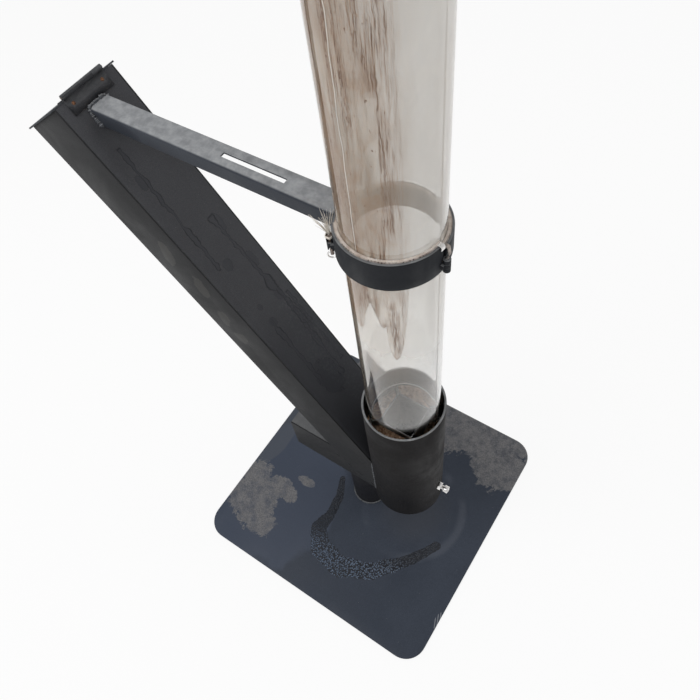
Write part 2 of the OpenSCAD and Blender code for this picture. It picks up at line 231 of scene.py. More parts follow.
def coating_group():
    """A matte oven-cured coating: fine texture, uneven tone, pale specks and faint rubbed smudges."""
    tree, into, out = group(
        "matte_coating",
        [("Where", "Vector", None), ("Tone", "Color", (0.03, 0.034, 0.04, 1)),
         ("Chalky tone", "Color", (0.1, 0.105, 0.11, 1)), ("Chalk", "Float", 0.2),
         ("Specks", "Float", 0.3), ("Patch size", "Float", 12.0)],
        [("Colour", "Color"), ("Roughness", "Float"), ("Height", "Float")])
    where = into["Where"]
    patch = grain(tree, where, into["Patch size"], 5.0, 0.62, 0.4)
    mottle = step_up(tree, patch, 0.38, 0.68)
    fine = grain(tree, where, 900.0, 3.0, 0.7)
    chalk = calc(tree, "MULTIPLY", mottle, into["Chalk"], clamp=True)
    tone = blend_colour(tree, chalk, into["Tone"], into["Chalky tone"])
    shade = step_up(tree, fine, 0.3, 0.7, (0.82, 1.2))
    tone = blend_colour(tree, 1.0, tone, join(tree, shade, shade, shade), "MULTIPLY")
    spot = step_up(tree, cells(tree, where, 260.0), 0.11, 0.05)
    chosen = step_up(tree, grain(tree, where, 61.0), 0.62, 0.66)
    speck = calc(tree, "MULTIPLY", calc(tree, "MULTIPLY", spot, chosen), into["Specks"], clamp=True)
    tree.links.new(blend_colour(tree, speck, tone, (0.34, 0.34, 0.33, 1)), out["Colour"])
    rough = calc(tree, "ADD", step_up(tree, patch, 0.3, 0.7, (0.46, 0.66)), calc(tree, "MULTIPLY", chalk, 0.2))
    tree.links.new(rough, out["Roughness"])
    tree.links.new(calc(tree, "ADD", fine, calc(tree, "MULTIPLY", speck, 2.0)), out["Height"])
    return tree


def wet_bead_group():
    """Beads of water standing close together inside a mask."""
    tree, into, out = group(
        "wet_beads", [("Where", "Vector", None), ("Mask", "Float", 1.0), ("Size", "Float", 170.0)],
        [("Bead", "Float"), ("Edge", "Float")])
    gap = cells(tree, into["Where"], into["Size"])
    ragged = calc(tree, "ADD", into["Mask"], calc(tree, "MULTIPLY", calc(tree, "SUBTRACT", grain(
        tree, into["Where"], 55.0, 3.0, 0.7), 0.5), 1.1))
    inside = step_up(tree, ragged, 0.45, 0.6)
    tree.links.new(calc(tree, "MULTIPLY", step_up(tree, gap, 0.62, 0.15), inside), out["Bead"])
    tree.links.new(inside, out["Edge"])
    return tree


def run_group():
    """A dried run of water: a wavering line along one axis, darker at its rim."""
    tree, into, out = group(
        "dried_run",
        [("Across", "Float", 0.0), ("Along", "Float", 0.0), ("Centre", "Float", 0.0), ("Lean", "Float", 0.0),
         ("Start", "Float", 0.0), ("End", "Float", 0.1), ("Width", "Float", 0.003), ("Seed", "Float", 0.0)],
        [("Body", "Float"), ("Rim", "Float")])
    down = calc(tree, "SUBTRACT", into["Along"], into["Start"])
    waver = calc(tree, "SUBTRACT", grain(tree, join(tree, into["Along"], into["Seed"]), 55.0, 3.0, 0.6), 0.5)
    centre = calc(tree, "ADD", into["Centre"], calc(tree, "MULTIPLY", down, into["Lean"]))
    centre = calc(tree, "ADD", centre, calc(tree, "MULTIPLY", waver, 0.012))
    off = calc(tree, "ABSOLUTE", calc(tree, "SUBTRACT", into["Across"], centre))
    swell = step_up(tree, grain(tree, join(tree, into["Along"], into["Seed"]), 26.0, 2.0), 0.42, 0.72, (0.45, 2.6))
    half = calc(tree, "MULTIPLY", into["Width"], swell)
    share = calc(tree, "DIVIDE", off, half)
    ends = calc(tree, "MULTIPLY", step_up(tree, into["Along"], calc(tree, "SUBTRACT", into["End"], 0.006), into["End"]),
                step_up(tree, into["Along"], into["Start"], calc(tree, "SUBTRACT", into["Start"], 0.006)))
    tree.links.new(calc(tree, "MULTIPLY", step_up(tree, share, 1.05, 0.8), ends), out["Body"])
    rim = calc(tree, "MULTIPLY", step_up(tree, share, 0.65, 0.95), step_up(tree, share, 1.3, 1.0))
    tree.links.new(calc(tree, "MULTIPLY", rim, ends), out["Rim"])
    return tree


COATING = coating_group()
WET_BEADS = wet_bead_group()
DRIED_RUN = run_group()


def blot(tree, x, y, at, size, waver):
    """1 inside a ragged spot at the point at, with half widths size; 0 outside."""
    dx = calc(tree, "DIVIDE", calc(tree, "SUBTRACT", x, at[0]), size[0])
    dy = calc(tree, "DIVIDE", calc(tree, "SUBTRACT", y, at[1]), size[1])
    away = length(tree, dx, dy)
    return step_up(tree, calc(tree, "ADD", away, waver), 1.06, 0.94)


def most(tree, values):
    best = values[0]
    for value in values[1:]:
        best = calc(tree, "MAXIMUM", best, value)
    return best


# ---------------------------------------------------------------- materials of the stand

MATTE = {"Specular IOR Level": 0.22}


def near_path(tree, x, y, path):
    """Distance to a path in the plane over the path's half width there; each point is (x, y, half width)."""
    best = None
    for (ax, ay, aw), (bx, by, bw) in zip(path, path[1:]):
        span = (bx - ax) ** 2 + (by - ay) ** 2
        px, py = calc(tree, "SUBTRACT", x, ax), calc(tree, "SUBTRACT", y, ay)
        along = calc(tree, "ADD", calc(tree, "MULTIPLY", px, (bx - ax) / span),
                     calc(tree, "MULTIPLY", py, (by - ay) / span), clamp=True)
        off = length(tree, calc(tree, "SUBTRACT", px, calc(tree, "MULTIPLY", along, bx - ax)),
                     calc(tree, "SUBTRACT", py, calc(tree, "MULTIPLY", along, by - ay)))
        share = calc(tree, "DIVIDE", off, calc(tree, "ADD", aw, calc(tree, "MULTIPLY", along, bw - aw)))
        best = share if best is None else calc(tree, "MINIMUM", best, share)
    return best


# the arc of standing beads: (x, y, half width)
BEAD_ARC = [(-0.062, -0.016, 0.006), (-0.046, -0.052, 0.009), (-0.040, -0.095, 0.011), (-0.046, -0.128, 0.016),
            (-0.020, -0.160, 0.023), (0.030, -0.172, 0.022), (0.085, -0.150, 0.019), (0.125, -0.112, 0.014),
            (0.152, -0.078, 0.011), (0.176, -0.036, 0.009)]


def plate_coating():
    """The base plate: rain-wet blue slate, with dry grey islands and an arc of beads before the socket."""
    made, tree, shader, where = material("plate_coating", **MATTE)
    x, y, _ = split(tree, where)
    ragged = calc(tree, "MULTIPLY", calc(tree, "SUBTRACT", grain(tree, where, 30.0, 7.0, 0.72, 0.8), 0.5), 2.3)
    soft = calc(tree, "MULTIPLY", calc(tree, "SUBTRACT", grain(tree, where, 9.0, 3.0, 0.55), 0.5), 0.8)
    dry = most(tree, [
        blot(tree, x, y, (-0.205, -0.140), (0.055, 0.050), ragged),
        blot(tree, x, y, (-0.225, -0.105), (0.030, 0.035), ragged),
        blot(tree, x, y, (-0.168, -0.185), (0.042, 0.028), ragged),
        blot(tree, x, y, (-0.160, -0.100), (0.040, 0.020), ragged),
        blot(tree, x, y, (-0.125, -0.062), (0.022, 0.010), ragged),
        blot(tree, x, y, (0.140, 0.214), (0.135, 0.048), ragged),
        blot(tree, x, y, (0.214, 0.180), (0.066, 0.050), ragged),
        blot(tree, x, y, (0.08, 0.180), (0.050, 0.032), ragged),
        blot(tree, x, y, (-0.02, 0.232), (0.17, 0.05), ragged),
    ])
    film = most(tree, [
        blot(tree, x, y, (-0.243, 0.02), (0.032, 0.13), soft),
        blot(tree, x, y, (-0.205, 0.20), (0.10, 0.10), soft),
    ])
    dry_grain = step_up(tree, grain(tree, where, 420.0, 4.0, 0.75), 0.35, 0.65, (0.75, 1.3))
    coat = use(tree, COATING, {"Where": where, "Tone": (0.030, 0.038, 0.055, 1), "Chalk": 0.4,
                               "Chalky tone": (0.052, 0.062, 0.083, 1), "Specks": 0.7, "Patch size": 7.0})
    island = blend_colour(tree, 1.0, (0.150, 0.148, 0.152, 1), join(tree, dry_grain, dry_grain, dry_grain), "MULTIPLY")
    blue = blot(tree, x, y, (-0.17, -0.10), (0.13, 0.17), soft)
    blue = calc(tree, "MULTIPLY", blue, 0.5)
    colour = blend_colour(tree, blue, coat["Colour"], (0.060, 0.075, 0.112, 1))
    colour = blend_colour(tree, calc(tree, "MULTIPLY", film, 0.45), colour, (0.085, 0.092, 0.105, 1))
    faded = step_up(tree, grain(tree, where, 60.0, 5.0, 0.7), 0.30, 0.60, (0.40, 0.95))
    colour = blend_colour(tree, calc(tree, "MULTIPLY", dry, faded), colour, island)
    # pale ring left by water round the socket
    away = length(tree, calc(tree, "SUBTRACT", x, 0.098), calc(tree, "SUBTRACT", y, 0.006))
    wide = calc(tree, "ADD", away, calc(tree, "MULTIPLY", soft, 0.016))
    halo = calc(tree, "MULTIPLY", step_up(tree, wide, 0.088, 0.100), step_up(tree, wide, 0.112, 0.103))
    colour = blend_colour(tree, calc(tree, "MULTIPLY", halo, step_up(tree, calc(tree, "ADD", x, soft), 0.10, 0.22, (0.02, 0.30))), colour, (0.105, 0.115, 0.14, 1))
    inner = step_up(tree, wide, 0.098, 0.03)
    colour = blend_colour(tree, calc(tree, "MULTIPLY", inner, 0.3), colour, (0.058, 0.058, 0.062, 1))
    # arc of standing beads, open towards the feed box: dull water in its middle, and the beads outside it with a
    # painted highlight
    share = near_path(tree, x, y, BEAD_ARC)
    share = calc(tree, "ADD", share, calc(tree, "MULTIPLY", ragged, 0.35))
    near = step_up(tree, share, 1.35, 0.55)
    outside = step_up(tree, calc(tree, "SUBTRACT", calc(tree, "MULTIPLY", x, 0.2), y), 0.10, 0.17)
    beads = use(tree, WET_BEADS, {"Where": where, "Mask": near, "Size": 330.0})
    colour = blend_colour(tree, calc(tree, "MULTIPLY", beads["Edge"], 0.85), colour, (0.012, 0.013, 0.016, 1))
    # painted highlight: the beads outside the arc are made bright in colour, standing in for their reflection
    shine = calc(tree, "MULTIPLY", beads["Bead"], step_up(tree, outside, 0.0, 1.0, (0.10, 0.95)))
    colour = blend_colour(tree, shine, colour, (0.125, 0.165, 0.235, 1))
    # three scrapes at the plate's edge
    sx = calc(tree, "ADD", calc(tree, "MULTIPLY", y, 0.4), x)
    scrape = calc(tree, "MULTIPLY", blot(tree, x, y, (0.2475, -0.155), (0.006, 0.016), 0.0),
                  step_up(tree, calc(tree, "SINE", calc(tree, "MULTIPLY", sx, 1300.0)), 0.2, 0.7))
    colour = blend_colour(tree, calc(tree, "MULTIPLY", scrape, 0.6), colour, (0.30, 0.31, 0.33, 1))
    rough = calc(tree, "ADD", coat["Roughness"], calc(tree, "MULTIPLY", dry, 0.22))
    rough = calc(tree, "SUBTRACT", rough, calc(tree, "MULTIPLY", beads["Edge"], 0.3))
    rough = calc(tree, "SUBTRACT", rough, calc(tree, "MULTIPLY", calc(tree, "SUBTRACT", 1.0, dry), 0.06), clamp=True)
    height = calc(tree, "ADD", coat["Height"], calc(tree, "MULTIPLY", beads["Bead"], 9.0))
    wire(tree, shader, colour, rough, height, 0.35, 0.0006)
    return made


def chute_coating():
    """The chute's front plate: dark coating with dried runs, spots and a speckled patch near the socket."""
    made, tree, shader, where = material("chute_coating", **MATTE)
    turned = stretch(tree, where, move=(0.030, 0, -0.279))
    turned = stretch(tree, turned, turn=(0, CHUTE_TILT, 0))
    _, y, s = split(tree, turned)
    shift = -0.2476
    coat = use(tree, COATING, {"Where": where, "Tone": (0.046, 0.047, 0.052, 1), "Chalk": 0.3,
                               "Chalky tone": (0.070, 0.071, 0.076, 1), "Specks": 0.45, "Patch size": 11.0})
    colour, rims, bodies = coat["Colour"], [], []
    runs = [(-0.019, 0.02, 0.835, 0.640, 0.0026, 1.0), (0.016, -0.05, 0.700, 0.480, 0.0030, 4.0),
            (0.026, 0.04, 0.560, 0.380, 0.0034, 7.0), (-0.016, 0.01, 0.535, 0.400, 0.0030, 11.0),
            (0.034, 0.0, 0.545, 0.400, 0.0026, 15.0)]
    for centre, lean, start, end, width, seed in runs:
        run = use(tree, DRIED_RUN, {"Across": y, "Along": s, "Centre": centre, "Lean": lean, "Start": start + shift,
                                    "End": end + shift, "Width": width, "Seed": seed})
        bodies.append(run["Body"])
        rims.append(run["Rim"])
    waver = calc(tree, "MULTIPLY", calc(tree, "SUBTRACT", grain(tree, where, 60.0, 4.0, 0.6), 0.5), 1.2)
    spots = [((-0.009, 0.633), (0.007, 0.009)), ((-0.015, 0.557), (0.004, 0.005)), ((-0.025, 0.786), (0.006, 0.009)),
             ((-0.014, 0.527), (0.006, 0.008)), ((0.021, 0.684), (0.006, 0.014)), ((0.024, 0.615), (0.006, 0.013)),
             ((0.021, 0.549), (0.007, 0.011)), ((0.024, 0.477), (0.009, 0.012)), ((0.000, 0.392), (0.021, 0.034))]
    for at, size in spots:
        bodies.append(blot(tree, y, s, (at[0], at[1] + shift), size, waver))
    body, rim = most(tree, bodies), most(tree, rims)
    edge = calc(tree, "MULTIPLY", step_up(tree, body, 0.05, 0.5), step_up(tree, body, 0.95, 0.5))
    speckled = calc(tree, "MULTIPLY", blot(tree, y, s, (0.024, 0.43 + shift), (0.030, 0.11), waver),
                    step_up(tree, cells(tree, where, 230.0), 0.55, 0.3))
    colour = blend_colour(tree, calc(tree, "MULTIPLY", body, 0.5), colour, (0.026, 0.028, 0.034, 1))
    colour = blend_colour(tree, calc(tree, "MULTIPLY", speckled, 0.35), colour, (0.075, 0.078, 0.083, 1))
    line = calc(tree, "MAXIMUM", rim, edge)
    colour = blend_colour(tree, calc(tree, "MULTIPLY", line, 0.75), colour, (0.010, 0.010, 0.013, 1))
    # darker towards the chute's lower end
    lower_end_dark = step_up(tree, s, 0.315, 0.23)
    colour = blend_colour(tree, calc(tree, "MULTIPLY", lower_end_dark, 0.45), colour, (0.020, 0.021, 0.026, 1))
    rough = calc(tree, "SUBTRACT", coat["Roughness"], calc(tree, "MULTIPLY", body, 0.14), clamp=True)
    height = calc(tree, "ADD", coat["Height"], calc(tree, "MULTIPLY", line, 1.5))
    wire(tree, shader, colour, rough, height, 0.3, 0.0005)
    return made


def side_coating():
    """The side plates: warmer and duller, with pale smudges along the middle of the chute."""
    made, tree, shader, where = material("side_coating", **MATTE)
    x, y, z = split(tree, where)
    coat = use(tree, COATING, {"Where": where, "Tone": (0.020, 0.0205, 0.022, 1), "Chalk": 0.3,
                               "Chalky tone": (0.040, 0.040, 0.040, 1), "Specks": 0.25, "Patch size": 9.0})
    waver = calc(tree, "MULTIPLY", calc(tree, "SUBTRACT", grain(tree, where, 48.0, 3.0, 0.6), 0.5), 1.6)
    smudges = [((-0.241, 0.670), (0.012, 0.024)), ((-0.199, 0.622), (0.012, 0.026)),
               ((-0.176, 0.565), (0.010, 0.018)), ((-0.156, 0.527), (0.011, 0.017))]
    smudge = most(tree, [blot(tree, x, z, at, size, waver) for at, size in smudges])
    colour = blend_colour(tree, calc(tree, "MULTIPLY", smudge, 0.15), coat["Colour"], (0.16, 0.155, 0.14, 1))
    lower = step_up(tree, z, 0.40, 0.22)
    colour = blend_colour(tree, calc(tree, "MULTIPLY", lower, 0.35), colour, (0.018, 0.019, 0.022, 1))
    wire(tree, shader, colour, coat["Roughness"], coat["Height"], 0.28, 0.0005)
    return made


def plain_coating(name, tone, chalky, chalk, specks, dust_and_top_light=0.0, patch=14.0, lift=0.0, shine=0.22):
    """The coating on one piece, with an amount by which the faces that look up are paler: partly dust, partly painted
    light on the tops and rims.
    """
    made, tree, shader, where = material(name, **{"Specular IOR Level": shine})
    coat = use(tree, COATING, {"Where": where, "Tone": tone, "Chalky tone": chalky, "Chalk": chalk,
                               "Specks": specks, "Patch size": patch})
    colour, rough = coat["Colour"], coat["Roughness"]
    if dust_and_top_light:
        # faces that look up are made paler: part dust, part painted light on the tops and rims
        up = split(tree, tree.nodes.new("ShaderNodeNewGeometry").outputs["Normal"])[2]
        lying = step_up(tree, up, 0.55, 0.95)
        patchy = step_up(tree, grain(tree, where, 70.0, 5.0, 0.65), 0.3, 0.75, (0.55, 1.0))
        share = calc(tree, "MULTIPLY", calc(tree, "MULTIPLY", lying, patchy), dust_and_top_light)
        colour = blend_colour(tree, share, colour, (0.40, 0.41, 0.42, 1))
        rough = calc(tree, "ADD", rough, calc(tree, "MULTIPLY", share, 0.15), clamp=True)
    wire(tree, shader, colour, rough, coat["Height"], 0.28 + lift, 0.0005)
    return made


def bare_metal(name, tone, tint, rough, brush=(1, 1, 1), stain=0.3):
    """Uncoated metal with a directional grain and heat or rust staining."""
    made, tree, shader, where = material(name, metallic=1.0)
    lines = grain(tree, stretch(tree, where, brush), 700.0, 3.0, 0.6)
    marks = step_up(tree, grain(tree, where, 90.0, 5.0, 0.65), 0.45, 0.7)
    colour = blend_colour(tree, calc(tree, "MULTIPLY", marks, stain), tone, tint)
    spread = step_up(tree, lines, 0.3, 0.7, (rough - 0.07, rough + 0.1))
    wire(tree, shader, colour, spread, lines, 0.12, 0.0002)
    return made


def rust():
    made, tree, shader, where = material("rust")
    spots = grain(tree, where, 800.0, 5.0, 0.7)
    colour = blend_colour(tree, step_up(tree, spots, 0.35, 0.65), (0.055, 0.028, 0.018, 1), (0.24, 0.105, 0.045, 1))
    wire(tree, shader, colour, step_up(tree, spots, 0.3, 0.7, (0.95, 0.7)), spots, 0.6, 0.0005)
    return made


def tube_glass():
    """The clear tube's wall: faint haze and fine rings; its seam line is drawn in the smoke film."""
    made, tree, shader, where = material("tube_glass", 0.03, **{"IOR": 1.46, "Transmission Weight": 1.0})
    haze = step_up(tree, grain(tree, stretch(tree, where, (1, 1, 0.12)), 60.0, 4.0, 0.6), 0.4, 0.75, (0.02, 0.12))
    tone = blend_colour(tree, haze, (0.975, 0.978, 0.972, 1), (0.80, 0.79, 0.76, 1))
    rough = step_up(tree, grain(tree, where, 45.0, 3.0), 0.45, 0.8, (0.02, 0.10))
    wire(tree, shader, tone, rough, grain(tree, stretch(tree, where, (1, 1, 0.05)), 30.0), 0.05, 0.0004)
    return made


# the film's lower edge round the tube: (angle in degrees, height)
FILM_FOOT = [(-180, 0.690), (-160, 0.725), (-140, 0.775), (-127, 0.744), (-118, 0.750), (-111, 0.741),
             (-106, 0.738), (-101, 0.748), (-96, 0.775), (-87, 0.800), (-81, 0.782), (-77, 0.764), (-74, 0.757),
             (-70, 0.764), (-69, 0.730), (-65, 0.705), (-61, 0.695), (-56, 0.703), (-51, 0.726), (-46, 0.773),
             (-42, 0.830), (-34, 0.900), (20, 0.930), (60, 0.800), (90, 0.715), (112, 0.700), (128, 0.655),
             (142, 0.705), (156, 0.640), (170, 0.700), (180, 0.690)]
SEAM_AT = math.radians(-97.5)


def profile(tree, value, points, low, high):
    """A height that follows straight runs between points over -180..180 degrees of an angle."""
    ramp = put(tree, "ValToRGB")
    stops = ramp.color_ramp.elements
    while len(stops) > 1:
        stops.remove(stops[-1])
    for index, (at, level) in enumerate(points):
        stop = stops[0] if index == 0 else stops.new((at + 180) / 360)
        stop.position = (at + 180) / 360
        share = (level - low) / (high - low)
        stop.color = (share, share, share, 1)
    tree.links.new(calc(tree, "ADD", calc(tree, "DIVIDE", value, 2 * math.pi), 0.5), ramp.inputs["Fac"])
    return calc(tree, "ADD", calc(tree, "MULTIPLY", ramp.outputs["Color"], high - low), low)


def smoke_film():
    """Brown smoke film on the tube's wall, run down in streaks that end in points."""
    made, tree, shader, where = material("smoke_film", 0.85, **{"Specular IOR Level": 0.1})
    x, y, z = split(tree, stretch(tree, where, move=(-SOCKET_X, 0, 0)))
    angle = calc(tree, "ARCTAN2", y, x)
    level = stretch(tree, where, (0, 0, 1))
    swing = calc(tree, "SUBTRACT", grain(tree, level, 26.0, 2.0, 0.5), 0.5)
    sway = calc(tree, "ADD", calc(tree, "MULTIPLY", swing, 0.0022),
                calc(tree, "MULTIPLY", calc(tree, "SUBTRACT", grain(tree, where, 60.0, 3.0, 0.6), 0.5), 0.0030))
    # vertical streaks: noise on the wall's own circle, drawn out along the tube
    wall = join(tree, calc(tree, "ADD", x, sway), calc(tree, "ADD", y, sway), calc(tree, "MULTIPLY", z, 0.022))
    fine = grain(tree, wall, 1150.0, 3.0, 0.6)
    thin = grain(tree, wall, 620.0, 3.0, 0.55)
    middle = grain(tree, join(tree, x, y, calc(tree, "MULTIPLY", z, 0.08)), 130.0, 3.0, 0.65)
    broad = grain(tree, join(tree, x, y, calc(tree, "MULTIPLY", z, 0.30)), 26.0, 4.0, 0.6, 0.8)
    blotch = grain(tree, stretch(tree, where, (1, 1, 0.45)), 34.0, 6.0, 0.7, 0.6)
    speck = grain(tree, stretch(tree, where, (1, 1, 0.5)), 420.0, 2.0, 0.5)
    # lower edge, with a thin dark line where the runs dried
    jag = calc(tree, "MULTIPLY", calc(tree, "SUBTRACT", fine, 0.5), 0.009)
    low = calc(tree, "ADD", profile(tree, angle, FILM_FOOT, 0.6, 1.0), jag)
    above = calc(tree, "SUBTRACT", z, low)
    body = step_up(tree, above, -0.001, 0.002)
    rim = calc(tree, "MULTIPLY", step_up(tree, above, -0.0010, 0.0002), step_up(tree, above, 0.0042, 0.0012))
    around = calc(tree, "COSINE", calc(tree, "SUBTRACT", angle, math.radians(-135)))
    side = step_up(tree, around, -0.35, 0.45, (0.0, 1.0))
    high = step_up(tree, z, 0.74, 1.05)
    # thin lines, patches of brown, and the haze beneath them
    lines = step_up(tree, calc(tree, "ABSOLUTE", calc(tree, "SUBTRACT", thin, 0.5)), 0.060, 0.012)
    lines = calc(tree, "MULTIPLY", lines, step_up(tree, middle, 0.40, 0.58))
    streak = calc(tree, "MULTIPLY", step_up(tree, fine, 0.44, 0.62), step_up(tree, middle, 0.34, 0.54))
    cloud = calc(tree, "MULTIPLY", step_up(tree, blotch, 0.36, 0.60), step_up(tree, broad, 0.30, 0.55))
    dots = calc(tree, "MULTIPLY", step_up(tree, speck, 0.68, 0.74), step_up(tree, broad, 0.42, 0.6))
    brown = most(tree, [calc(tree, "MULTIPLY", cloud, 0.75), calc(tree, "MULTIPLY", streak, 0.9)])
    brown = calc(tree, "MULTIPLY", calc(tree, "MULTIPLY", brown, body), step_up(tree, side, 0.0, 1.0, (0.12, 1.0)))
    dark = calc(tree, "MULTIPLY", calc(tree, "MAXIMUM", lines, dots), calc(tree, "MULTIPLY", body, side))
    dark = calc(tree, "MAXIMUM", dark, calc(tree, "MULTIPLY", rim, step_up(tree, side, 0.0, 0.7, (0.25, 0.75))))
    # share of the wall that the film hides
    amount = calc(tree, "ADD", 0.40, calc(tree, "MULTIPLY", calc(tree, "SUBTRACT", blotch, 0.5), 0.16))
    amount = calc(tree, "MULTIPLY", amount, step_up(tree, z, 0.49, 0.54, (0.10, 1.0)))
    amount = calc(tree, "MULTIPLY", amount, step_up(tree, z, 0.60, 0.74, (0.20, 1.0)))
    amount = calc(tree, "ADD", amount, calc(tree, "MULTIPLY", step_up(tree, z, 1.08, 1.24), 0.22))
    amount = calc(tree, "ADD", amount, calc(tree, "MULTIPLY", calc(tree, "MULTIPLY", body, side), 0.12))
    amount = calc(tree, "ADD", amount, calc(tree, "MULTIPLY", brown, 0.30))
    amount = calc(tree, "ADD", amount, calc(tree, "MULTIPLY", dark, 0.45))
    meander = calc(tree, "MULTIPLY", swing, step_up(tree, z, 0.86, 1.06, (0.015, 0.11)))
    off = calc(tree, "ABSOLUTE", calc(tree, "SUBTRACT", calc(tree, "ADD", angle, meander), SEAM_AT))
    seam = calc(tree, "MULTIPLY", step_up(tree, off, 0.013, 0.005), step_up(tree, z, 0.80, 0.9))
    shade = calc(tree, "MULTIPLY", step_up(tree, off, 0.032, 0.012), step_up(tree, z, 0.80, 0.9))
    amount = calc(tree, "ADD", amount, calc(tree, "MULTIPLY", shade, 0.22), clamp=True)
    pale = blend_colour(tree, side, (0.86, 0.79, 0.71, 1), (0.72, 0.60, 0.475, 1))
    pale = blend_colour(tree, step_up(tree, z, 1.06, 1.20, (0.0, 0.8)), pale, (0.50, 0.455, 0.41, 1))
    colour = blend_colour(tree, brown, pale, (0.42, 0.265, 0.160, 1))
    colour = blend_colour(tree, calc(tree, "MULTIPLY", dark, 0.9), colour, (0.17, 0.08, 0.04, 1))
    colour = blend_colour(tree, calc(tree, "MULTIPLY", shade, 0.6), colour, (0.22, 0.15, 0.10, 1))
    colour = blend_colour(tree, seam, colour, (0.90, 0.86, 0.80, 1))
    wire(tree, shader, colour)
    tree.links.new(amount, shader.inputs["Alpha"])
    return made


def cut_glass():
    """The ground end of the tube, which catches the light."""
    made, tree, shader, where = material("cut_glass", 0.55)
    chips = grain(tree, where, 500.0, 4.0, 0.7)
    colour = blend_colour(tree, step_up(tree, chips, 0.35, 0.65), (0.60, 0.60, 0.58, 1), (0.85, 0.86, 0.85, 1))
    wire(tree, shader, colour, height=chips, bump=0.4, depth=0.0004)
    return made


def packing_tape():
    """Woven heat-proof tape: slanted yarns round the collar, with small dark stitches near its band."""
    made, tree, shader, where = material("packing_tape", 0.95)
    x, y, z = split(tree, stretch(tree, where, move=(-SOCKET_X, 0, 0)))
    angle = calc(tree, "ARCTAN2", y, x)
    turn = calc(tree, "MULTIPLY", angle, 110.0)
    climb = calc(tree, "MULTIPLY", z, 2600.0)
    weave = calc(tree, "MAXIMUM", calc(tree, "SINE", calc(tree, "ADD", calc(tree, "MULTIPLY", turn, 2.0), climb)),
                 calc(tree, "SINE", calc(tree, "SUBTRACT", calc(tree, "MULTIPLY", turn, 2.0), climb)))
    uneven = grain(tree, where, 160.0, 3.0, 0.6)
    stitch = calc(tree, "MULTIPLY", step_up(tree, calc(tree, "SINE", turn), 0.1, 0.6), step_up(tree, uneven, 0.42, 0.55))
    outer = step_up(tree, length(tree, x, y), 0.0551, 0.0558)
    ahead = step_up(tree, calc(tree, "COSINE", calc(tree, "SUBTRACT", angle, math.radians(-75))), 0.2, 0.8)
    scorched = grain(tree, where, 120.0, 4.0, 0.6)
    colour = blend_colour(tree, step_up(tree, scorched, 0.40, 0.80), (0.86, 0.78, 0.71, 1), (0.56, 0.44, 0.36, 1))
    edge = calc(tree, "MULTIPLY", outer, step_up(tree, uneven, 0.3, 0.7, (0.25, 0.6)))
    edge = calc(tree, "MAXIMUM", edge, calc(tree, "MULTIPLY", calc(tree, "MULTIPLY", stitch, outer), ahead))
    colour = blend_colour(tree, edge, colour, (0.06, 0.035, 0.03, 1))
    wire(tree, shader, colour, height=weave, bump=0.8, depth=0.0006)
    return made


def granules():
    made, tree, shader, where = material("mineral_granules", 0.9)
    tint = put(tree, "TexVoronoi", {"Vector": where, "Scale": 420.0}).outputs["Color"]
    pick = split(tree, tint)[0]
    colour = blend_colour(tree, pick, (0.20, 0.085, 0.035, 1), (0.72, 0.50, 0.34, 1))
    wire(tree, shader, colour, height=grain(tree, where, 900.0, 3.0), bump=0.6, depth=0.0006)
    return made


def thread_yarn():
    made, tree, shader, where = material("thread_yarn", 0.9)
    fibre = grain(tree, where, 1500.0, 3.0, 0.7)
    colour = blend_colour(tree, step_up(tree, fibre, 0.35, 0.7), (0.86, 0.83, 0.77, 1), (0.55, 0.47, 0.38, 1))
    wire(tree, shader, colour, height=fibre, bump=0.5, depth=0.0003)
    return made


SLATE = (0.034, 0.037, 0.043, 1)
SLATE_PALE = (0.075, 0.080, 0.088, 1)
LOOKS = {
    "plate": plate_coating(),
    "front": chute_coating(),
    "side": side_coating(),
    "duct": plain_coating("duct_coating", SLATE, SLATE_PALE, 0.3, 0.3),
    "box_top": plain_coating("box_top_coating", (0.030, 0.032, 0.037, 1), (0.10, 0.10, 0.10, 1), 0.6, 0.6, 0.22),
    "socket": plain_coating("socket_coating", (0.0105, 0.0097, 0.0102, 1), (0.017, 0.0155, 0.0155, 1), 0.35, 0.12, 0.7,
                            shine=0.12),
    "post": plain_coating("post_coating", (0.016, 0.016, 0.019, 1), (0.030, 0.030, 0.032, 1), 0.4, 0.2),
    "arm": plain_coating("arm_coating", (0.034, 0.039, 0.050, 1), (0.070, 0.078, 0.092, 1), 0.45, 0.35, 0.85, 20.0),
    "band": plain_coating("band_coating", (0.0085, 0.0100, 0.0135, 1), (0.015, 0.0175, 0.022, 1), 0.3, 0.08, 0.5, 18.0),
    "hinge": plain_coating("hinge_coating", (0.026, 0.027, 0.031, 1), (0.060, 0.060, 0.064, 1), 0.5, 0.3, 0.14, 40.0),
    "lid": plain_coating("lid_coating", SLATE, SLATE_PALE, 0.4, 0.4, 0.2),
    "weld": plain_coating("coated_weld", (0.040, 0.042, 0.048, 1), (0.15, 0.16, 0.175, 1), 0.8, 0.3, 0.45, 160.0, 0.3),
    "steel": bare_metal("heat_dulled_steel", (0.17, 0.165, 0.16, 1), (0.15, 0.12, 0.10, 1), 0.5, (1, 1, 0.1), 0.6),
    "sooted": bare_metal("sooted_steel", (0.20, 0.198, 0.196, 1), (0.06, 0.06, 0.064, 1), 0.45, (1, 1, 0.1), 0.7),
    "stainless": bare_metal("stainless", (0.80, 0.79, 0.78, 1), (0.50, 0.40, 0.33, 1), 0.2, (0.1, 1, 1), 0.2),
    "old_pin": bare_metal("old_pin", (0.26, 0.22, 0.20, 1), (0.30, 0.14, 0.07, 1), 0.45, (1, 1, 0.1), 0.5),
    "rust": rust(),
    "glass": tube_glass(),
    "film": smoke_film(),
    "cut_glass": cut_glass(),
    "packing": packing_tape(),
    "granules": granules(),
    "thread": thread_yarn(),
}

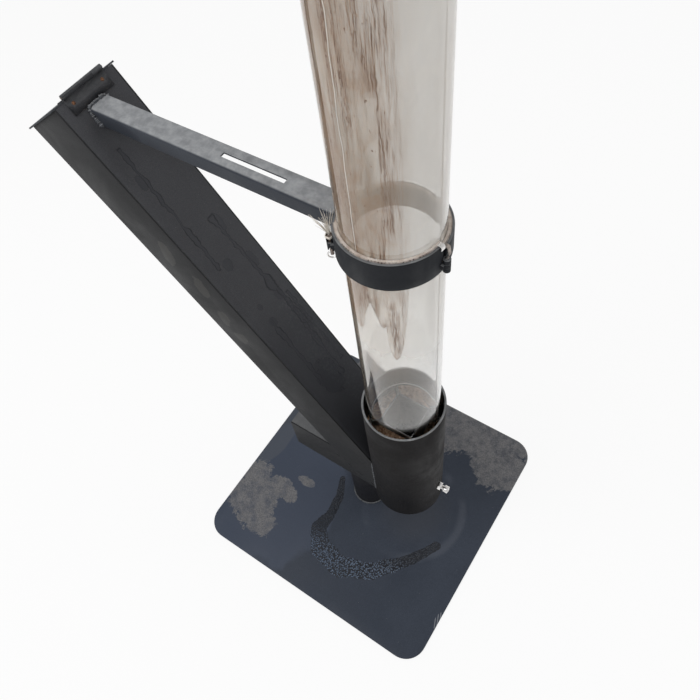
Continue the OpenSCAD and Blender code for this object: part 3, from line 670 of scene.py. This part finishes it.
NODE_LOOKS = {
    "base_plate": "plate", "post": "post", "left_side_plate": "side", "right_side_plate": "side",
    "chute_front_plate": "front", "chute_back_plate": "duct", "box_top_plate": "box_top", "box_floor_plate": "duct",
    "feed_plate": "post", "socket": "socket", "socket_floor": "post", "fire_pot": "steel", "clamp_nut": "stainless",
    "clamp_screw": "stainless", "riser_flange": "steel", "riser": "sooted", "corner_fins": "sooted",
    "granule_fill": "granules", "clear_tube": "glass", "support_arm": "arm", "rear_band": "band",
    "front_band": "band", "collar_hinge_pin": "stainless", "latch_pin": "old_pin", "latch_ring": "stainless",
    "rear_packing": "packing", "front_packing": "packing", "chute_hinge_leaf": "hinge", "lid_hinge_leaf": "hinge",
    "lid_hinge_pin": "old_pin", "chute_leaf_rivets": "rust", "lid_leaf_rivets": "rust", "lid": "lid",
}
BODY_OF = {name: node["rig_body"] for name, node in NODES.items()}

for name, look in NODE_LOOKS.items():
    mesh = NODES[name].data
    mesh.materials.clear()
    mesh.materials.append(LOOKS[look])

# ---------------------------------------------------------------- pieces

def show(name, mesh, look, body):
    """A finished mesh becomes a piece that rides on a body."""
    mesh.materials.clear()
    mesh.materials.append(LOOKS[look])
    piece = bpy.data.objects.new(name, mesh)
    bpy.context.scene.collection.objects.link(piece)
    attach(piece, body)
    return piece


def eased(name, width, sharp=28.0, segments=2):
    """A copy of a CAD node with its edges rounded off, shown in its place."""
    mesh = NODES[name].data.copy()
    work = bmesh.new()
    work.from_mesh(mesh)
    bmesh.ops.remove_doubles(work, verts=work.verts, dist=2e-6)
    bmesh.ops.dissolve_limit(work, angle_limit=math.radians(0.5), verts=work.verts, edges=work.edges)
    work.to_mesh(mesh)
    work.free()
    copy = bpy.data.objects.new(name + "_work", mesh)
    bpy.context.scene.collection.objects.link(copy)
    soften = copy.modifiers.new("soften", "BEVEL")
    soften.width = width
    soften.segments = segments
    soften.limit_method = "ANGLE"
    soften.angle_limit = math.radians(sharp)
    soften.use_clamp_overlap = True
    graph = bpy.context.evaluated_depsgraph_get()
    made = bpy.data.meshes.new_from_object(copy.evaluated_get(graph))
    bpy.data.objects.remove(copy)
    made.shade_smooth()
    made.set_sharp_from_angle(angle=math.radians(38))
    piece = show(name + "_eased", made, NODE_LOOKS[name], BODY_OF[name])
    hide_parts(name)
    return piece


EASED = {
    "base_plate": 0.0008, "left_side_plate": 0.0004, "right_side_plate": 0.0004, "chute_front_plate": 0.0003,
    "box_top_plate": 0.0004, "socket": 0.0006, "support_arm": 0.0003, "rear_band": 0.0005, "front_band": 0.0005,
    "chute_hinge_leaf": 0.0003, "lid_hinge_leaf": 0.0003, "lid": 0.0004, "clamp_screw": 0.0005, "clamp_nut": 0.0004,
    "riser": 0.0003, "corner_fins": 0.0003, "post": 0.0005, "latch_pin": 0.0003,
}
for name, width in EASED.items():
    eased(name, width)

for node in NODES.values():
    if not node.hide_render:
        node.data.shade_smooth()
        node.data.set_sharp_from_angle(angle=math.radians(35))


# weld beads: overlapping ripples along a path

def geometry_group(name, inputs):
    tree = bpy.data.node_groups.new(name, "GeometryNodeTree")
    tree.interface.new_socket("Geometry", in_out="INPUT", socket_type="NodeSocketGeometry")
    for label, kind, value in inputs:
        socket = tree.interface.new_socket(label, in_out="INPUT", socket_type="NodeSocket" + kind)
        if value is not None:
            socket.default_value = value
    tree.interface.new_socket("Geometry", in_out="OUTPUT", socket_type="NodeSocketGeometry")
    return tree, tree.nodes.new("NodeGroupInput").outputs, tree.nodes.new("NodeGroupOutput").inputs


def gput(tree, kind, inputs=None, **props):
    node = tree.nodes.new(kind)
    for key, value in props.items():
        setattr(node, key, value)
    for key, value in (inputs or {}).items():
        if isinstance(value, bpy.types.NodeSocket):
            tree.links.new(value, node.inputs[key])
        else:
            node.inputs[key].default_value = value
    return node


def bead_nodes():
    """Ripples of weld metal: one flattened blob every Spacing along the path, each a little different."""
    tree, into, out = geometry_group("weld_ripples", [
        ("Spacing", "Float", 0.0016), ("Radius", "Float", 0.0022), ("Uneven", "Float", 0.3),
        ("Seed", "Int", 3), ("Material", "Material", None)])
    points = gput(tree, "GeometryNodeCurveToPoints", {"Curve": into["Geometry"], "Length": into["Spacing"]}, mode="LENGTH")
    blob = gput(tree, "GeometryNodeMeshIcoSphere", {"Radius": into["Radius"], "Subdivisions": 2})
    low = gput(tree, "ShaderNodeMath", {0: 1.0, 1: into["Uneven"]}, operation="SUBTRACT").outputs[0]
    high = gput(tree, "ShaderNodeMath", {0: 1.0, 1: into["Uneven"]}, operation="ADD").outputs[0]
    size = gput(tree, "FunctionNodeRandomValue", {"Seed": into["Seed"]}, data_type="FLOAT")
    tree.links.new(low, size.inputs[2])
    tree.links.new(high, size.inputs[3])
    scale = gput(tree, "ShaderNodeCombineXYZ", {0: size.outputs[1], 1: size.outputs[1], 2: 0.62})
    lay = gput(tree, "GeometryNodeInstanceOnPoints", {
        "Points": points.outputs["Points"], "Instance": blob.outputs[0], "Rotation": points.outputs["Rotation"],
        "Scale": scale.outputs[0]})
    real = gput(tree, "GeometryNodeRealizeInstances", {"Geometry": lay.outputs[0]})
    smooth = gput(tree, "GeometryNodeSetShadeSmooth", {"Geometry": real.outputs[0]})
    painted = gput(tree, "GeometryNodeSetMaterial", {"Geometry": smooth.outputs[0], "Material": into["Material"]})
    tree.links.new(painted.outputs[0], out["Geometry"])
    return tree


BEADS = bead_nodes()


def socket_id(tree, label):
    return next(i.identifier for i in tree.interface.items_tree if i.name == label and i.in_out == "INPUT")


def path_mesh(name, paths, tree, values):
    """Runs a geometry tree over poly paths and returns one plain mesh."""
    curve = bpy.data.curves.new(name + "_path", "CURVE")
    curve.dimensions = "3D"
    for points in paths:
        spline = curve.splines.new("POLY")
        spline.points.add(len(points) - 1)
        for slot, point in zip(spline.points, points):
            slot.co = (*point, 1.0)
    carrier = bpy.data.objects.new(name + "_carrier", curve)
    bpy.context.scene.collection.objects.link(carrier)
    modifier = carrier.modifiers.new("lay", "NODES")
    modifier.node_group = tree
    for label, value in values.items():
        modifier[socket_id(tree, label)] = value
    graph = bpy.context.evaluated_depsgraph_get()
    mesh = bpy.data.meshes.new_from_object(carrier.evaluated_get(graph))
    carrier.modifiers.clear()
    bpy.data.objects.remove(carrier)
    return mesh


def weld(name, paths, radius, spacing, uneven=0.3, seed=3):
    values = {"Spacing": spacing, "Radius": radius, "Uneven": uneven, "Seed": seed, "Material": LOOKS["weld"]}
    return show(name, path_mesh(name, paths, BEADS, values), "weld", "stand")


def arc(centre, radius, start, end, z, count=40):
    step = (end - start) / count
    return [Vector((centre + radius * math.cos(start + i * step), radius * math.sin(start + i * step), z))
            for i in range(count + 1)]


def straight(a, b):
    return [Vector(a), Vector(b)]


def arm_root_path():
    """Round the arm's end, where it meets the chute's front plate."""
    half, points = ARM_W / 2 + 0.0004, []
    lean = math.tan(CHUTE_TILT)
    face = lambda z: chute_point(CHUTE_DEPTH, 0, 0).x - (z - chute_point(CHUTE_DEPTH, 0, 0).z) * lean
    for y, z in ((-half, ARM_Z[0]), (-half, ARM_Z[1] - 0.003), (-half + 0.004, ARM_Z[1] + 0.0004),
                 (half - 0.004, ARM_Z[1] + 0.0004), (half, ARM_Z[1] - 0.003), (half, ARM_Z[0])):
        points.append(Vector((face(z) + 0.001, y, z)))
    return points


def add_welds():
    weld("arm_root_weld", [arm_root_path()], 0.0026, 0.0017, 0.45, 5)
    end_x = SOCKET_X - BAND_R - 0.0004
    half = ARM_W / 2
    dx = BAND_R - math.sqrt(BAND_R ** 2 - half ** 2)
    weld("arm_collar_weld", [[Vector((end_x - dx * (abs(t) ** 2) + 0.0003, t * half, ARM_Z[1])) for t in
                              (-1, -0.6, -0.2, 0.2, 0.6, 1)]], 0.0018, 0.0013, 0.35, 8)
    weld("post_foot_weld", [arc(0, POST_R + 0.0006, 0, 2 * math.pi, PLATE_T + 0.0008, 80)], 0.0022, 0.0021, 0.25, 2)
    weld("post_head_weld", [arc(0, POST_R + 0.0006, 0, 2 * math.pi, BOX_Z[0] - 0.0008, 80)], 0.0018, 0.0018, 0.25, 6)
    foot = CHUTE_FOOT[0] - 0.0008
    weld("chute_foot_weld", [straight((foot, -0.043, BOX_Z[1] + 0.0006), (foot, 0.043, BOX_Z[1] + 0.0006))],
         0.0020, 0.0016, 0.35, 9)
    side = DUCT_W / 2
    seam_x = SOCKET_X - math.sqrt(SOCKET_R ** 2 - side ** 2) - 0.0004
    for sign, label in ((-1, "left"), (1, "right")):
        weld(label + "_socket_weld", [straight((seam_x, sign * side, BOX_Z[0] + 0.002),
                                               (seam_x, sign * side, 0.306))], 0.0016, 0.0015, 0.3, 12 + sign)


add_welds()


# smoke film inside the clear tube

def film_mesh(radius, z0, z1, sides=128, rows=40):
    mesh = bpy.data.meshes.new("smoke_film")
    work = bmesh.new()
    rings = []
    for row in range(rows + 1):
        z = z0 + (z1 - z0) * row / rows
        rings.append([work.verts.new(collar_point(2 * math.pi * i / sides, radius, z)) for i in range(sides)])
    for low, high in zip(rings, rings[1:]):
        for i in range(sides):
            j = (i + 1) % sides
            work.faces.new((low[i], low[j], high[j], high[i]))
    work.to_mesh(mesh)
    work.free()
    mesh.shade_smooth()
    return mesh


show("smoke_film", film_mesh(TUBE_R - 0.0006, TUBE_Z[0] + 0.002, TUBE_Z[1] - 0.002), "film",
     "tube_body")


# ground lower edge of the tube

def ring_mesh(name, inner, outer, low, high, sides=128):
    mesh = bpy.data.meshes.new(name)
    work = bmesh.new()
    corners = ((outer, low), (outer, high), (inner, high), (inner, low))
    rows = [[work.verts.new(collar_point(2 * math.pi * i / sides, r, z)) for r, z in corners] for i in range(sides)]
    for i in range(sides):
        here, there = rows[i], rows[(i + 1) % sides]
        for k in range(4):
            m = (k + 1) % 4
            work.faces.new((here[k], there[k], there[m], here[m]))
    bmesh.ops.recalc_face_normals(work, faces=work.faces)
    work.to_mesh(mesh)
    work.free()
    mesh.shade_smooth()
    mesh.set_sharp_from_angle(angle=math.radians(35))
    return mesh


show("tube_foot_edge", ring_mesh("tube_foot_edge", TUBE_R - TUBE_WALL - 0.0004, TUBE_R - TUBE_WALL - 0.0001,
                                 TUBE_Z[0], TUBE_Z[0] + 0.0016), "cut_glass", "tube_body")


def bent_strip(name, angle, width, thick, path):
    """A strip of the given width round the collar, bent along points given as (distance from the axis, height)."""
    mesh = bpy.data.meshes.new(name)
    work = bmesh.new()
    rows = []
    for index, (r, z) in enumerate(path):
        before, after = path[max(index - 1, 0)], path[min(index + 1, len(path) - 1)]
        run = Vector((after[0] - before[0], after[1] - before[1])).normalized()
        half = Vector((-run.y, run.x)) * thick / 2
        row = []
        for side, sign in ((-1, 1), (1, 1), (1, -1), (-1, -1)):
            reach, height = r + sign * half.x, z + sign * half.y
            turn = angle + side * width / 2 / reach
            row.append(work.verts.new(collar_point(turn, reach, height)))
        rows.append(row)
    for low, high in zip(rows, rows[1:]):
        for k in range(4):
            m = (k + 1) % 4
            work.faces.new((low[k], low[m], high[m], high[k]))
    work.faces.new(rows[0])
    work.faces.new(rows[-1])
    bmesh.ops.recalc_face_normals(work, faces=work.faces)
    work.to_mesh(mesh)
    work.free()
    return mesh


front_top = COLLAR_Z + 0.037
rear_top = COLLAR_Z + 0.028
show("packing_clip", bent_strip("packing_clip", math.radians(-8.5), 0.0055, 0.0009, [
    (0.0535, front_top + 0.0006), (0.0575, front_top + 0.0010), (0.0597, front_top + 0.0008),
    (0.0603, front_top - 0.0004), (0.0603, front_top - 0.0040)]), "stainless", "front_collar")
show("packing_tail", bent_strip("packing_tail", math.radians(0.5), 0.0042, 0.0010, [
    (0.0552, rear_top + 0.0006), (0.0590, rear_top + 0.0009), (0.0607, rear_top - 0.0003),
    (0.0612, rear_top - 0.0040), (0.0621, rear_top - 0.0098)]), "packing", "stand")


# loose granules on top of the fill

def granule_nodes():
    """Small rough stones scattered over the upward faces of the fill."""
    tree, into, out = geometry_group("scattered_granules", [
        ("Density", "Float", 90000.0), ("Radius", "Float", 0.0013), ("Seed", "Int", 4), ("Material", "Material", None)])
    up = gput(tree, "GeometryNodeInputNormal")
    level = gput(tree, "ShaderNodeSeparateXYZ", {0: up.outputs[0]}).outputs[2]
    top = gput(tree, "FunctionNodeCompare", {0: level, 1: 0.9}, data_type="FLOAT", operation="GREATER_THAN")
    points = gput(tree, "GeometryNodeDistributePointsOnFaces", {
        "Mesh": into["Geometry"], "Selection": top.outputs[0], "Density": into["Density"], "Seed": into["Seed"]})
    stone = gput(tree, "GeometryNodeMeshIcoSphere", {"Radius": into["Radius"], "Subdivisions": 1})
    turn = gput(tree, "FunctionNodeRandomValue", {"Seed": into["Seed"]}, data_type="FLOAT_VECTOR")
    turn.inputs[1].default_value = (6.28, 6.28, 6.28)
    size = gput(tree, "FunctionNodeRandomValue", {"Seed": into["Seed"]}, data_type="FLOAT_VECTOR")
    size.inputs[0].default_value = (0.55, 0.5, 0.45)
    size.inputs[1].default_value = (1.2, 1.1, 1.0)
    lay = gput(tree, "GeometryNodeInstanceOnPoints", {
        "Points": points.outputs[0], "Instance": stone.outputs[0], "Rotation": turn.outputs[0], "Scale": size.outputs[0]})
    real = gput(tree, "GeometryNodeRealizeInstances", {"Geometry": lay.outputs[0]})
    painted = gput(tree, "GeometryNodeSetMaterial", {"Geometry": real.outputs[0], "Material": into["Material"]})
    tree.links.new(painted.outputs[0], out["Geometry"])
    return tree


def scatter_granules():
    tree = granule_nodes()
    carrier = bpy.data.objects.new("granule_carrier", NODES["granule_fill"].data.copy())
    bpy.context.scene.collection.objects.link(carrier)
    modifier = carrier.modifiers.new("scatter", "NODES")
    modifier.node_group = tree
    modifier[socket_id(tree, "Material")] = LOOKS["granules"]
    graph = bpy.context.evaluated_depsgraph_get()
    mesh = bpy.data.meshes.new_from_object(carrier.evaluated_get(graph))
    carrier.modifiers.clear()
    bpy.data.objects.remove(carrier)
    show("loose_granules", mesh, "granules", "stand")


scatter_granules()


# frayed thread that ties the latch pin

def strand_mesh(name, strands, sides=6):
    """Tapering tubes: each strand is a list of (point, radius)."""
    mesh = bpy.data.meshes.new(name)
    work = bmesh.new()
    for strand in strands:
        rings = []
        for index, (point, radius) in enumerate(strand):
            before = strand[max(index - 1, 0)][0]
            after = strand[min(index + 1, len(strand) - 1)][0]
            ahead = (after - before).normalized()
            across = ahead.cross(Vector((0.3, 0.2, 1))).normalized()
            up = ahead.cross(across)
            rings.append([work.verts.new(point + radius * (math.cos(a) * across + math.sin(a) * up))
                          for a in (2 * math.pi * i / sides for i in range(sides))])
        for low, high in zip(rings, rings[1:]):
            for i in range(sides):
                j = (i + 1) % sides
                work.faces.new((low[i], low[j], high[j], high[i]))
        work.faces.new(list(reversed(rings[0])))
        work.faces.new(rings[-1])
    bmesh.ops.recalc_face_normals(work, faces=work.faces)
    work.to_mesh(mesh)
    work.free()
    mesh.shade_smooth()
    return mesh


def add_thread():
    rng = random.Random(17)
    outward = Vector((math.cos(LATCH_AT), math.sin(LATCH_AT), 0))
    beside = Vector((-math.sin(LATCH_AT), math.cos(LATCH_AT), 0))
    root = collar_point(LATCH_AT, EYE_AT + 0.0005, KNOT_Z + 0.0015)
    strands = []
    for index in range(26):
        fan = -0.62 + 1.24 * index / 25 + rng.uniform(-0.10, 0.10)
        reach = rng.uniform(0.014, 0.029)
        lean = rng.uniform(-0.05, 0.25)
        rise = Vector((0, 0, 1)) * 0.75 - beside * 0.66
        aside = Vector((0, 0, 1)) * 0.66 + beside * 0.75
        heading = (rise * math.cos(fan) + (aside * 0.45 + outward * 0.9) * math.sin(fan) + outward * lean).normalized()
        droop = rng.uniform(0.0, 0.005)
        strand = []
        for step in range(7):
            t = step / 6
            point = root + heading * reach * t + outward * droop * t * t - Vector((0, 0, droop * t * t * 0.6))
            strand.append((point + beside * rng.uniform(-0.0004, 0.0004), 0.00036 * (1 - 0.75 * t)))
        strands.append(strand)
    # turns round the pin under its head
    centre = collar_point(LATCH_AT, EYE_AT, 0)
    coil = []
    for step in range(73):
        a = 2 * math.pi * step / 24
        radius = 0.0040 + 0.0003 * math.sin(5 * a)
        z = KNOT_Z - 0.0012 + 0.00085 * step / 24
        coil.append((Vector((centre.x + radius * math.cos(a), centre.y + radius * math.sin(a), z)), 0.00052))
    strands.append(coil)
    show("latch_thread", strand_mesh("latch_thread", strands), "thread", "front_collar")


add_thread()

# ---------------------------------------------------------------- floor and light

FLOOR_HALF = 6.0


def add_floor():
    mesh = bpy.data.meshes.new("floor")
    h = FLOOR_HALF
    mesh.from_pydata([(-h, -h, -0.0006), (h, -h, -0.0006), (h, h, -0.0006), (-h, h, -0.0006)], [], [(0, 1, 2, 3)])
    floor = bpy.data.objects.new("floor", mesh)
    bpy.context.scene.collection.objects.link(floor)
    made, tree, shader, where = material("pale_floor", 0.9)
    shader.inputs["Base Color"].default_value = (0.92, 0.92, 0.92, 1)
    glow = put(tree, "Emission", {"Color": (1, 1, 1, 1), "Strength": 1.0})
    path = tree.nodes.new("ShaderNodeLightPath")
    seen = most(tree, [path.outputs["Is Camera Ray"], path.outputs["Is Glossy Ray"], path.outputs["Is Transmission Ray"]])
    mixed = put(tree, "MixShader", {0: calc(tree, "MULTIPLY", seen, 0.86), 1: shader.outputs[0], 2: glow.outputs[0]})
    out = next(n for n in tree.nodes if n.type == "OUTPUT_MATERIAL")
    tree.links.new(mixed.outputs[0], out.inputs[0])
    mesh.materials.append(made)


def add_light():
    world = bpy.data.worlds.new("studio")
    bpy.context.scene.world = world
    world.use_nodes = True
    tree = world.node_tree
    tree.nodes.clear()
    path = tree.nodes.new("ShaderNodeLightPath")
    seen = most(tree, [path.outputs["Is Camera Ray"], path.outputs["Is Transmission Ray"]])
    strength = step_up(tree, seen, 0.0, 1.0, (0.62, 1.0))
    sky = put(tree, "Background", {"Color": (1, 1, 1, 1), "Strength": strength})
    out = tree.nodes.new("ShaderNodeOutputWorld")
    tree.links.new(sky.outputs[0], out.inputs[0])
    for name, at, to, size, power in (
            ("key", (-0.9, -1.3, 2.6), (0, 0, 0.5), 1.6, 26.0),
            ("fill", (1.9, 0.9, 2.0), (0, 0, 0.5), 2.0, 9.0)):
        data = bpy.data.lights.new(name, "AREA")
        data.shape, data.size, data.energy = "SQUARE", size, power
        lamp = bpy.data.objects.new(name, data)
        bpy.context.scene.collection.objects.link(lamp)
        aim = (Vector(to) - Vector(at)).to_track_quat("-Z", "Y")
        lamp.matrix_world = Matrix.Translation(at) @ aim.to_matrix().to_4x4()


add_floor()
add_light()
bpy.context.scene.view_settings.view_transform = "Standard"
